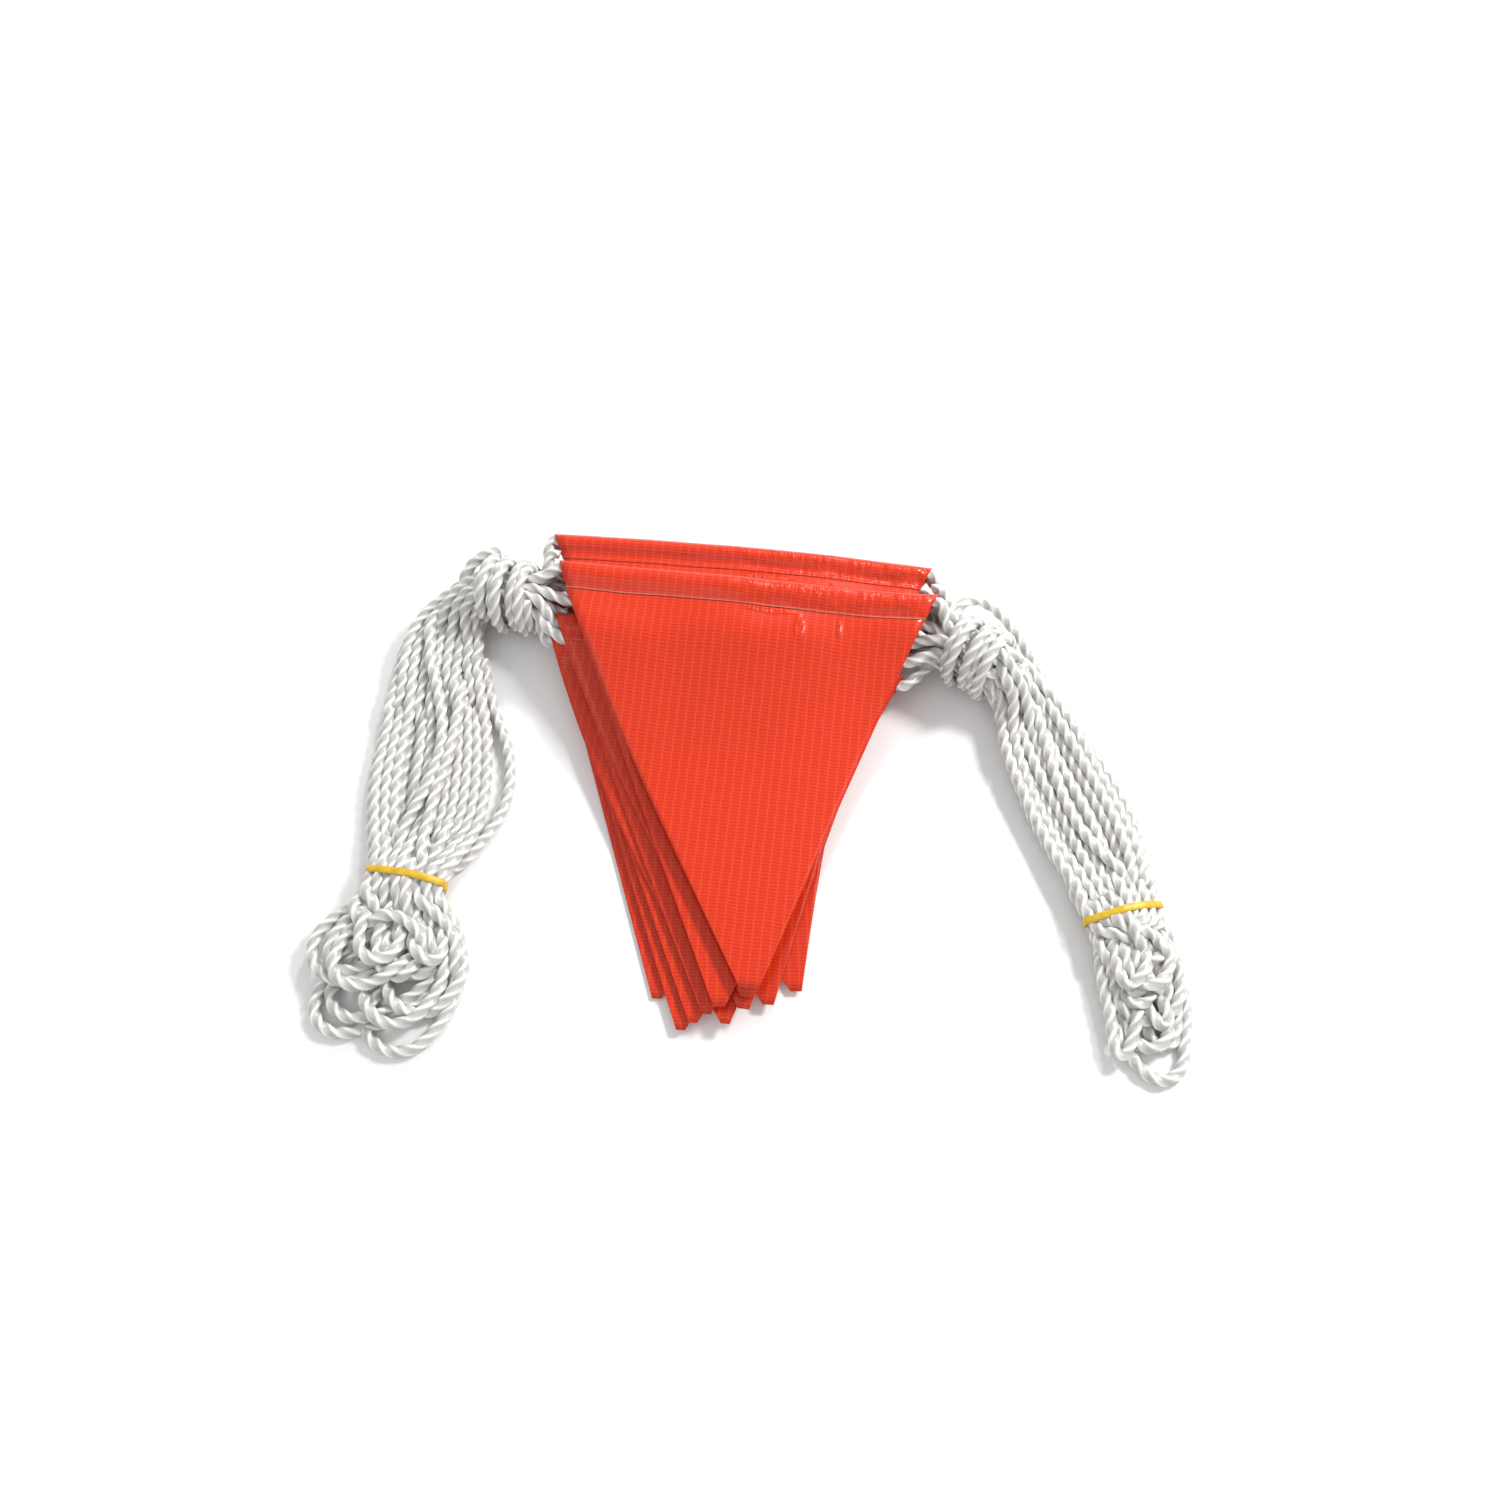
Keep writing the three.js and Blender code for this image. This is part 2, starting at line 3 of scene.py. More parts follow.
import bmesh
import bpy
import numpy as np
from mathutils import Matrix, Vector


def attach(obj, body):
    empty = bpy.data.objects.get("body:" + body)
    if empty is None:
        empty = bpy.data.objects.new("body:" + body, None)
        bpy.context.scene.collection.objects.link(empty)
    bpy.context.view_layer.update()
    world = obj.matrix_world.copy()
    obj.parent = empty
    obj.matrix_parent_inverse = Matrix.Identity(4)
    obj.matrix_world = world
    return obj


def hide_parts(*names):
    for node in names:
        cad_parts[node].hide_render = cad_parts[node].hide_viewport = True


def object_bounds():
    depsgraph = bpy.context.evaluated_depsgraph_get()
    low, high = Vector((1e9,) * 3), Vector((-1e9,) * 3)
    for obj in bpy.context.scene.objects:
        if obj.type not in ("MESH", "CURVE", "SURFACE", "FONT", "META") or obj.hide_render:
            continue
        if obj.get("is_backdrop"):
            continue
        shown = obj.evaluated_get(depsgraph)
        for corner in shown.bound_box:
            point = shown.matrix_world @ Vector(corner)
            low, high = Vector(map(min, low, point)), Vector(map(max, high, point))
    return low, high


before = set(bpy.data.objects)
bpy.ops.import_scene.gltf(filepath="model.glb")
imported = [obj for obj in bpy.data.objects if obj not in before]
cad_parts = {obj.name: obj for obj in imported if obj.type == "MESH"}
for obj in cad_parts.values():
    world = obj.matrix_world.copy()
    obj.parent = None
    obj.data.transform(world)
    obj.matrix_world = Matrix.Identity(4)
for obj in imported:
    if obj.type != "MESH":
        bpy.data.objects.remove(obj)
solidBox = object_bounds()

# A string of orange flags stacked flat, with its rope in a hank at each side.
# Lengths are millimetres in the string's own layout, until setDown puts a point in the part's frame.
mm = 0.001
layout = Vector((2.8398, 28.9915, 0.0))


def setDown(x, y, z):
    return Vector((x + layout.x, y + layout.y, z)) * mm


def pointing(degrees):
    angle = math.radians(degrees)
    return np.array([math.cos(angle), math.sin(angle), 0])


def easeTo(value, low, high):
    # soft step from 0 at low to 1 at high
    t = np.clip((value - low) / (high - low), 0, 1)
    return t * t * (3 - 2 * t)


def report(stage, detail=""):
    print(f"bunting: {stage} {detail}".rstrip())


# Camera, looking down on the stack
cameraPlan = {"elevation": 65, "distance": 720, "lens": 35.42, "sensor": 36, "clip": 0.01}


def makeCamera(plan):
    data = bpy.data.cameras.new("camera")
    data.lens = plan["lens"]
    data.sensor_width = plan["sensor"]
    data.clip_start = plan["clip"]
    camera = bpy.data.objects.new("camera", data)
    bpy.context.collection.objects.link(camera)
    lift = math.radians(plan["elevation"])
    camera.location = setDown(0, -plan["distance"] * math.cos(lift), plan["distance"] * math.sin(lift))
    camera.rotation_euler = (math.pi / 2 - lift, 0, 0)
    bpy.context.scene.camera = camera


makeCamera(cameraPlan)
report("camera")


# Shader maths: a socket that adds, multiplies and so on, and makes any other node
class Field:
    def __init__(self, tree, socket=None):
        self.tree = tree
        self.socket = socket

    def node(self, kind, settings=None, inputs=None, out=0):
        made = self.tree.nodes.new(kind)
        for key, value in (settings or {}).items():
            setattr(made, key, value)
        for key, value in (inputs or {}).items():
            if isinstance(value, Field):
                self.tree.links.new(value.socket, made.inputs[key])
            else:
                made.inputs[key].default_value = value
        return Field(self.tree, made.outputs[out])

    def maths(self, operation, *values):
        return self.node("ShaderNodeMath", {"operation": operation}, dict(enumerate(values)))

    def __add__(self, other):
        return self.maths("ADD", self, other)

    __radd__ = __add__

    def __mul__(self, other):
        return self.maths("MULTIPLY", self, other)

    __rmul__ = __mul__

    def __sub__(self, other):
        return self.maths("SUBTRACT", self, other)

    def __rsub__(self, other):
        return self.maths("SUBTRACT", other, self)

    def __truediv__(self, other):
        return self.maths("DIVIDE", self, other)

    def __rtruediv__(self, other):
        return self.maths("DIVIDE", other, self)

    def __pow__(self, other):
        return self.maths("POWER", self, other)

    def __rpow__(self, other):
        return self.maths("POWER", other, self)

    def between(self, low, high):
        inputs = {"Value": self, "From Min": low, "From Max": high, "To Min": 0.0, "To Max": 1.0}
        return self.node("ShaderNodeMapRange", {"interpolation_type": "SMOOTHSTEP"}, inputs)

    def wave(self, pitch, shift=0.0):
        return self.maths("SINE", self * (2 * math.pi / pitch) + shift) * 0.5 + 0.5

    def noise(self, place, scale, detail=2.0, rough=0.5):
        inputs = {"Vector": place, "Scale": scale, "Detail": detail, "Roughness": rough}
        return self.node("ShaderNodeTexNoise", None, inputs)

    def blend(self, share, first, second):
        inputs = {0: share, 6: first, 7: second}
        return self.node("ShaderNodeMix", {"data_type": "RGBA"}, inputs, 2)

    def stretched(self, place, scale):
        return self.node("ShaderNodeMapping", None, {"Vector": place, "Scale": scale})

    def bump(self, strength, depth, height):
        inputs = {"Strength": strength, "Distance": depth, "Height": height}
        return self.node("ShaderNodeBump", None, inputs)


def newMaterial(name, fixed):
    made = bpy.data.materials.new(name)
    made.use_nodes = True
    shader = made.node_tree.nodes["Principled BSDF"]
    for key, value in fixed.items():
        shader.inputs[key].default_value = value
    return made, Field(made.node_tree), shader


def connect(field, shader, socket):
    field.tree.links.new(field.socket, shader.inputs[socket])


# Coated scrim: weft dashes between paler warp columns, under a clear soft film. The pale edge colour
# marks each hem flap's cut edge, and on the front flag it is also a painted highlight along the seam.
# A dent is a place on the sheet with its width and height.
clothLook = {
    "fixed": {"Specular IOR Level": 0.2, "Coat Weight": 0.42, "Coat Roughness": 0.05},
    "lit": (0.62, 0.033, 0.003, 1), "dash": (0.50, 0.012, 0.002, 1),
    "pale": (0.66, 0.054, 0.006, 1), "paleShare": 0.55, "edge": (0.90, 0.52, 0.42, 1),
    "warp": 4.35, "warpSide": (0.05, 0.17), "warpBare": 0.8,
    "weft": 1.62, "dashSharp": 1.3, "jitterTurn": 12.7, "jitter": 0.35,
    "driftScale": 0.09, "driftAcross": 1.2, "driftDown": 1.6,
    "wornScale": 0.35, "wornShare": 0.9, "wornLeast": 0.45,
    "looseAcross": (-40, 40), "looseDown": (-11, -3), "patchScale": 0.07, "patch": (0.3, 0.62),
    "dents": [(27, 16, 3.2, 8.0), (46, 15, 1.8, 5.5), (-74, 6, 5.5, 1.8), (12, 9, 14.0, 2.4)],
    "dentEdge": (0.2, 1.0), "thread": 0.5,
    "filmStretch": (0.4, 1.0, 1.0), "filmScale": 0.22, "film": 1.6,
    "crinkleStretch": (1.0, 0.35, 1.0), "crinkleScale": 0.42, "crinkle": 26,
    "bump": (0.3, 0.0002), "rough": 0.30, "roughWorn": 0.14, "glossLoose": 0.12,
}


def makeScrim(look):
    made, field, shader = newMaterial("coated scrim", look["fixed"])
    place = field.node("ShaderNodeUVMap", {"uv_map": "cloth"})
    across = field.node("ShaderNodeSeparateXYZ", None, {0: place}, 0)
    down = field.node("ShaderNodeSeparateXYZ", None, {0: place}, 1)
    drift = field.noise(place, look["driftScale"]) - 0.5
    column = (across + drift * look["driftAcross"]) / look["warp"]
    warp = 1 - field.maths("PINGPONG", column, 0.5).between(*look["warpSide"])
    index = field.maths("FLOOR", column + 0.5)
    jitter = field.maths("SINE", index * look["jitterTurn"]) * look["jitter"]
    rows = (down + drift * look["driftDown"] + jitter).wave(look["weft"])
    dash = rows ** look["dashSharp"] * (1 - warp * look["warpBare"])
    worn = field.noise(place, look["wornScale"], 3.0)
    cover = dash * (worn * look["wornShare"] + look["wornLeast"])
    base = field.blend(warp * look["paleShare"], look["lit"], look["pale"])
    colour = field.blend(cover, base, look["dash"])
    # pale cut edge of each hem flap, brightened on the front flag as a painted highlight along its seam
    cutEdgeAndPaintedGlint = field.node("ShaderNodeAttribute", {"attribute_name": "cutEdgeAndPaintedGlint"}, None, 2)
    connect(field.blend(cutEdgeAndPaintedGlint, colour, look["edge"]), shader, "Base Color")
    # the film stands in small wrinkles on the right half of the hem, and in a few dents below it
    patch = field.noise(place, look["patchScale"], 1.0).between(*look["patch"])
    loose = across.between(*look["looseAcross"]) * (1 - down.between(*look["looseDown"])) * patch
    for x, y, wide, high in look["dents"]:
        away = ((across - x) / wide) ** 2 + ((down - y) / high) ** 2
        loose = loose + (1 - away.between(*look["dentEdge"]))
    film = field.noise(field.stretched(place, look["filmStretch"]), look["filmScale"], 3.0)
    crinkle = field.noise(field.stretched(place, look["crinkleStretch"]), look["crinkleScale"])
    height = rows * look["thread"] * (1 - warp) + warp * look["thread"]
    height = height + film * look["film"] + crinkle * loose * look["crinkle"]
    connect(field.bump(*look["bump"], height), shader, "Normal")
    rough = look["rough"] + worn * look["roughWorn"] - loose * look["glossLoose"]
    connect(rough, shader, "Roughness")
    return made


# White rope of three laid strands of fine fibres, with a painted highlight along each strand's crest over
# a grey that stands as painted shade in the valleys
ropeLook = {
    "fixed": {"Specular IOR Level": 0.7, "Subsurface Weight": 0.5, "Subsurface Scale": 0.8,
              "Subsurface Radius": (0.004, 0.004, 0.0036), "Sheen Weight": 0.1, "Sheen Roughness": 0.4},
    "paintedCrestGlint": (0.92, 0.91, 0.885, 1), "paintedShadeGrey": (0.53, 0.520, 0.495, 1), "thread": (0.45, 0.44, 0.42, 1),
    "strands": 3, "paintedGlintSharp": 3.6, "paintedGlintLeast": 0.4, "fibreLeast": 0.5,
    "fibreStretch": (26.0, 0.16, 1.0), "fibreRough": 0.6, "fibreEdge": (0.4, 0.68), "threadShare": 0.7,
    "toneStretch": (3.0, 0.11, 1.0), "toneEdge": (0.3, 0.6), "toneShare": 0.6,
    "bump": (0.4, 0.0003), "rough": 0.20, "roughFibre": 0.2,
}


def makeLaidRope(look):
    made, field, shader = newMaterial("white laid rope", look["fixed"])
    place = field.node("ShaderNodeUVMap", {"uv_map": "lay"})
    around = field.node("ShaderNodeSeparateXYZ", None, {0: place}, 0)
    fibre = field.noise(field.stretched(place, look["fibreStretch"]), 1.0, 3.0, look["fibreRough"])
    tone = field.noise(field.stretched(place, look["toneStretch"]), 1.0)
    # painted highlight: a white streak along each strand's crest; where it fades, the grey gives painted
    # shade in the valleys between strands
    paintedCrestGlint = around.wave(1 / look["strands"], math.pi / 2) ** look["paintedGlintSharp"]
    paintedCrestGlint = paintedCrestGlint * (look["paintedGlintLeast"] + tone.between(*look["toneEdge"]) * look["toneShare"])
    paintedCrestGlint = paintedCrestGlint * (look["fibreLeast"] + fibre)
    shade = fibre.between(*look["fibreEdge"]) * look["threadShare"]
    shade = field.blend(shade, look["paintedShadeGrey"], look["thread"])
    connect(field.blend(paintedCrestGlint, shade, look["paintedCrestGlint"]), shader, "Base Color")
    connect(field.bump(*look["bump"], fibre), shader, "Normal")
    connect(look["rough"] + fibre * look["roughFibre"], shader, "Roughness")
    return made


# Amber rubber, a little see-through and mottled
rubberLook = {
    "fixed": {"Subsurface Weight": 0.2, "Subsurface Radius": (0.003, 0.0015, 0.0004),
              "Subsurface Scale": 0.5},
    "amber": (0.68, 0.46, 0.02, 1), "deep": (0.58, 0.34, 0.015, 1),
    "mottleScale": 260.0, "mottleEdge": (0.35, 0.7),
    "bump": (0.3, 0.0002), "rough": 0.36, "roughMottle": 0.15,
}


def makeRubber(look):
    made, field, shader = newMaterial("amber rubber", look["fixed"])
    place = field.node("ShaderNodeTexCoord", None, None, 3)
    mottle = field.noise(place, look["mottleScale"], 3.0)
    colour = field.blend(mottle.between(*look["mottleEdge"]), look["amber"], look["deep"])
    connect(colour, shader, "Base Color")
    connect(field.bump(*look["bump"], mottle), shader, "Normal")
    connect(look["rough"] + mottle * look["roughMottle"], shader, "Roughness")
    return made


scrim = makeScrim(clothLook)
laidRope = makeLaidRope(ropeLook)
rubber = makeRubber(rubberLook)
report("materials")


def addPiece(name, bm, material, smooth=True):
    mesh = bpy.data.meshes.new(name)
    bm.to_mesh(mesh)
    bm.free()
    piece = bpy.data.objects.new(name, mesh)
    bpy.context.collection.objects.link(piece)
    mesh.materials.append(material)
    if smooth:
        mesh.shade_smooth()
    return piece


# The stack. In the pile a sheet takes its solid's thickness and the gap below it, and a little more
# beside its hem, over the two ranges of distance from the fold.
stackPlan = {
    "slope": -6.2, "sheet": 0.45, "solid": 1, "gap": 0.35, "parting": 0.3,
    "partingBelow": (12, 110), "partingBehind": (0, 40),
    "lift": 0.25, "flap": 14.0, "inset": 4.4, "ropeHeight": 2.95,
}

# The flags from the lowest to the top one: middle of the fold, turn from the common slope of the
# hems, lean and width of the tip, width of the hem, bow of each side, length to the tip, and arch
# of the fold
flagColumns = ("x", "y", "turn", "lean", "tip", "wide", "bowLeft", "bowRight", "long", "arch")
flagRows = [dict(zip(flagColumns, row)) for row in (
    (-9, 67.1, -1.5, 24.5, 5, 179, 3, -3, 195.1, 0.5),
    (-9.5, 66, 3, -22, 4, 181, 0, 3, 192, -0.6),
    (-11, 79.7, 7, 29, 5, 180, 3, -9, 201.7, 0.4),
    (-8, 56.3, 3.3, -13, 4, 171, 2, 2, 196.8, -0.5),
    (-7.5, 60.9, 1.5, 31, 5, 177, 4, -5, 187.4, 0.7),
    (-7.5, 48.6, 4.1, -11, 4, 166, 2, 2, 186.1, 0.3),
    (-11.8, 43.5, -1.5, 25, 4, 175, 7, -4, 179.5, 0.8),
    (-7, 51.5, 5, -8.5, 4, 166, 2, 2, 185.5, -0.4),
    (-9.5, 51.5, -1, 29.5, 5, 174, 5, -4, 181, 0.6),
    (-3.2, 84, 0, 21.5, 6, 186.6, 3, -1, 192, 1.0),
    (-5, 71.2, -1.8, 31, 5, 179, 3, -3, 196.2, -0.5),
    (-1, 70.8, 6, -12, 5, 174, 1, 3, 202.8, 0.5),
    (-3, 78, 0, 21.5, 5, 186, 3, -1, 192, 0.8),
    (-4, 96.4, 0.2, 18, 7, 189, 3, -1, 192, 2.2),
    (-4, 96.4, -0.2, 20, 7, 190, 3, -1, 192, 3.2),
    (-0.5, 74.9, -0.4, 23, 8.4, 186, 5.2, -3, 199, 0.3),
)]

# Thickness of a hem at a distance below its fold, with the rope in it
hemBelow = [-2, 0, 2.2, 4.4, 6.4, 9, 12, 15]
hemThick = [1, 2, 5, 5.9, 4.8, 2.2, 1.3, 1]


def flagAxes(flag):
    angle = math.radians(stackPlan["slope"] + flag["turn"])
    return (math.cos(angle), math.sin(angle)), (math.sin(angle), -math.cos(angle))


def flagPoint(flag, across, below):
    along, down = flagAxes(flag)
    x = flag["x"] + along[0] * across + down[0] * below
    y = flag["y"] + along[1] * across + down[1] * below
    return x, y


def takenBy(flag, x, y):
    plan = stackPlan
    down = flagAxes(flag)[1]
    below = (x - flag["x"]) * down[0] + (y - flag["y"]) * down[1]
    lower = plan["parting"] * (1 - easeTo(below, *plan["partingBelow"]))
    behind = plan["parting"] * (1 - easeTo(-below, *plan["partingBehind"]))
    parting = np.where(below > plan["partingBelow"][0], lower, np.where(below < 0, behind, 0))
    thick = np.interp(below, hemBelow, hemThick)
    return plan["gap"] + np.maximum(thick, plan["solid"] + parting)


# Height map of the pile, along the middle slope of the hems and across it. A sheet spans the
# hollows below it in shallow arcs, and is pressed down where the flag above needs the room.
mapPlan = {
    "slope": -3.4, "left": -126, "right": 118, "bottom": -156, "top": 114,
    "acrossStep": 6.0, "downStep": 2.0, "arc": 200.0, "margin": 80.0, "middleStep": 4.0,
    "open": 1000.0, "rounds": 3, "blurDown": 0.22, "blurAcross": 0.03,
}
mapAcross = np.arange(mapPlan["left"], mapPlan["right"] + 0.1, mapPlan["acrossStep"])
mapDown = np.arange(mapPlan["bottom"], mapPlan["top"] + 0.1, mapPlan["downStep"])
slopeCos = math.cos(math.radians(mapPlan["slope"]))
slopeSin = math.sin(math.radians(mapPlan["slope"]))


def spanned(height):
    plan = mapPlan
    middles = np.arange(mapDown[0] - plan["margin"], mapDown[-1] + plan["margin"], plan["middleStep"])
    rise = (mapDown[:, None] - middles[None, :]) ** 2 / (2 * plan["arc"])
    over = np.stack([(height - column[:, None]).max(axis=0) for column in rise.T])
    return np.stack([(over + row[:, None]).min(axis=0) for row in rise])


def smoothed(height):
    for _ in range(mapPlan["rounds"]):
        edged = np.pad(height, 1, mode="edge")
        down = (edged[:-2, 1:-1] + edged[2:, 1:-1]) * mapPlan["blurDown"]
        across = (edged[1:-1, :-2] + edged[1:-1, 2:]) * mapPlan["blurAcross"]
        height = down + across + height / 2
    return height


def pileUp():
    # the underside of each sheet, worked out from the top flag down
    u, v = np.meshgrid(mapAcross, mapDown)
    x, y = u * slopeCos - v * slopeSin, u * slopeSin + v * slopeCos
    taken = [takenBy(flag, x, y) for flag in flagRows]
    packed = np.cumsum([np.zeros_like(x)] + taken[:-1], axis=0)
    sheets = []
    above = np.full_like(x, mapPlan["open"])
    for height, room in zip(packed[::-1], taken[::-1]):
        above = np.minimum(spanned(height), above - room)
        sheets.append(above)
    return [smoothed(height) for height in sheets[::-1]]


undersides = pileUp()
report("height map of the pile")


def cellOf(place, start, step, count):
    # cell of the map and the place inside it, just short of the last cell's far edge
    place = np.clip((place - start) / step, 0, count - 1.001)
    cell = place.astype(int)
    return cell, place - cell


def heightAt(order, x, y):
    height = undersides[order]
    u = np.asarray(x) * slopeCos + np.asarray(y) * slopeSin
    v = np.asarray(y) * slopeCos - np.asarray(x) * slopeSin
    i, s = cellOf(u, mapAcross[0], mapPlan["acrossStep"], len(mapAcross))
    j, t = cellOf(v, mapDown[0], mapPlan["downStep"], len(mapDown))
    low = height[j, i] * (1 - s) + height[j, i + 1] * s
    high = height[j + 1, i] * (1 - s) + height[j + 1, i + 1] * s
    return low * (1 - t) + high * t


def throughPoints(points, share):
    # smooth line through a few points, read at shares from 0 at its start to 1 at its end
    points = np.asarray(points, float)
    steps = np.linalg.norm(np.diff(points, axis=0), axis=1) ** 0.5
    reach = np.concatenate([[0], np.cumsum(steps)])
    place = np.asarray(share) * reach[-1]
    ends = np.vstack([2 * points[0] - points[1], points, 2 * points[-1] - points[-2]])
    knots = np.concatenate([[-reach[1]], reach, [2 * reach[-1] - reach[-2]]])
    i = np.clip(np.searchsorted(reach, place, side="right") - 1, 0, len(points) - 2)
    a, b, c, d = (ends[i + k] for k in range(4))
    ka, kb, kc, kd = (knots[i + k][:, None] for k in range(4))
    t = place[:, None]
    ab = a * (kb - t) / (kb - ka) + b * (t - ka) / (kb - ka)
    bc = b * (kc - t) / (kc - kb) + c * (t - kb) / (kc - kb)
    cd = c * (kd - t) / (kd - kc) + d * (t - kc) / (kd - kc)
    first = ab * (kc - t) / (kc - ka) + bc * (t - ka) / (kc - ka)
    second = bc * (kd - t) / (kd - kb) + cd * (t - kb) / (kd - kb)
    return first * (kc - t) / (kc - kb) + second * (t - kb) / (kc - kb)


# One flag. The hem's run goes under the rope, round its fold and back over the rope: distance below
# the fold, and height over the underside.
hemRun = [(14.5, 0.25), (11.5, 0.25), (9, 0.25), (6.6, 0.25), (4.4, 0.27), (2.4, 0.5), (0.8, 1.4),
          (0.1, 2.95), (0.7, 4.5), (2.2, 5.65), (4.4, 6.05), (6.4, 5.3), (8.2, 3.5), (9.7, 1.9),
          (11.2, 1.05), (12.6, 0.8), (14.0, 0.74)]
frontRun = hemRun[:10] + [(4.4, 6.0), (6.8, 5.6), (9.2, 4.3), (11.4, 2.7), (13.2, 1.4), (14.4, 0.76)]
flagPlan = {
    "columns": 36, "bodyRows": 34, "hemRows": 34, "bodyEnd": 16, "zeroBelow": 12,
    "seamEdgeAndPaintedGlint": 0.8, "hiddenSeam": 0.1, "bow": 0.85, "frontBow": 0.62, "archSharp": 0.8, "archReach": 70,
}


def flagSides(flag, below, bend):
    # left and right edge at each distance below the fold
    t = np.clip(below / flag["long"], 0, 1)
    bow = np.sin(np.pi * t ** bend)
    left = -flag["wide"] / 2 * (1 - t) + (flag["lean"] - flag["tip"] / 2) * t - flag["bowLeft"] * bow
    right = flag["wide"] / 2 * (1 - t) + (flag["lean"] + flag["tip"] / 2) * t + flag["bowRight"] * bow
    return left, right


def makeFlag(order, flag):
    plan = flagPlan
    front = flag is flagRows[-1]
    body = np.linspace(flag["long"], plan["bodyEnd"], plan["bodyRows"])
    hem = throughPoints(frontRun if front else hemRun, np.linspace(0, 1, plan["hemRows"]))
    below = np.concatenate([body, hem[:, 0]])
    above = np.concatenate([np.full(len(body), stackPlan["lift"]), hem[:, 1]])
    runs = np.concatenate([[0], np.cumsum(np.hypot(np.diff(below), np.diff(above)))])
    down = runs[-1] - stackPlan["flap"] - plan["zeroBelow"] - runs
    left, right = flagSides(flag, below, plan["frontBow"] if front else plan["bow"])
    share = np.linspace(0, 1, plan["columns"])
    across = left[:, None] * (1 - share) + right[:, None] * share
    arch = flag["arch"] * np.sin(np.pi * share)[None, :] ** plan["archSharp"]
    arch = arch * np.clip(1 - below / plan["archReach"], 0, 1)[:, None]
    x, y = flagPoint(flag, across, below[:, None] - arch)
    z = heightAt(order, x, y) + above[:, None]

    bm = bmesh.new()
    bmesh.ops.create_grid(bm, x_segments=plan["columns"] - 1, y_segments=len(below) - 1, size=1)
    bm.verts.ensure_lookup_table()
    cloth = bm.loops.layers.uv.new("cloth")
    cutEdgeAndPaintedGlint = bm.verts.layers.float.new("cutEdgeAndPaintedGlint")
    spots = {}
    for index, vert in enumerate(bm.verts):
        row, column = divmod(index, plan["columns"])
        vert.co = setDown(x[row, column], y[row, column], z[row, column])
        spots[vert] = (across[row, column], down[row])
        # the last row is the flap's cut edge: faintly pale on hidden flags, a painted highlight along the
        # front flag's seam
        if row == len(below) - 1:
            vert[cutEdgeAndPaintedGlint] = plan["seamEdgeAndPaintedGlint"] if front else plan["hiddenSeam"]
    for face in bm.faces:
        for loop in face.loops:
            loop[cloth].uv = spots[loop.vert]
    bmesh.ops.recalc_face_normals(bm, faces=bm.faces)
    piece = addPiece(f"flagCloth{order + 1:02d}", bm, scrim)
    wall = piece.modifiers.new("film and scrim", "SOLIDIFY")
    wall.thickness = stackPlan["sheet"] * mm
    wall.offset = 0

    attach(piece, "root")
    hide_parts(f"flag_{order + 1:02d}")
    width = right - left
    area = ((width[1:] + width[:-1]) / 2 * np.diff(runs)).sum()
    width.max() * mm
    area * mm * mm


for order, flag in enumerate(flagRows):
    makeFlag(order, flag)
report("flags", len(flagRows))


# Rope: a straight length with its lay spun in, then bent along its route. The strands' middles lie
# strandOut of a strand's radius from the rope's, soft rounds the section, and a hem squeezes it.
ropePlan = {
    "diameter": 5.9, "lay": 22.0, "sides": 15, "ring": 1.6, "fine": 8, "strandOut": 1.1547,
    "soft": 0.42, "squeeze": 0.8, "easing": 7.0, "nextTurn": 5 / 3,
}


def ropeSection(plan):
    radius = plan["diameter"] / 2
    strand = radius / (1 + plan["strandOut"])
    out = strand * plan["strandOut"]
    corners = []
    for i in range(plan["sides"]):
        angle = i / plan["sides"] * 2 * math.pi
        swing = (angle + math.pi / 3) % (2 * math.pi / 3) - math.pi / 3
        reach = out * math.cos(swing)
        reach += math.sqrt(max(strand ** 2 - (out * math.sin(swing)) ** 2, 0))
        corners.append((angle, reach * (1 - plan["soft"]) + radius * plan["soft"]))
    return corners


def evenRoute(points, spacing):
    points = np.asarray(points, float)
    fine = throughPoints(points, np.linspace(0, 1, len(points) * ropePlan["fine"]))
    reach = np.concatenate([[0], np.cumsum(np.linalg.norm(np.diff(fine, axis=0), axis=1))])
    count = max(int(round(reach[-1] / spacing)), 2)
    places = np.linspace(0, reach[-1], count + 1)
    return np.stack([np.interp(places, reach, fine[:, k]) for k in range(3)], axis=1)


def travelling(route):
    # two directions square to the route, carried along it without twisting
    heading = np.gradient(route, axis=0)
    heading /= np.linalg.norm(heading, axis=1)[:, None]
    side = np.cross(heading[0], (0, 0, 1))
    if np.linalg.norm(side) < 0.2:
        side = np.cross(heading[0], (0, 1, 0))
    sides = []
    for step in heading:
        side = side - step * np.dot(side, step)
        side = side / np.linalg.norm(side)
        sides.append(side)
    sides = np.array(sides)
    return sides, np.cross(heading, sides)


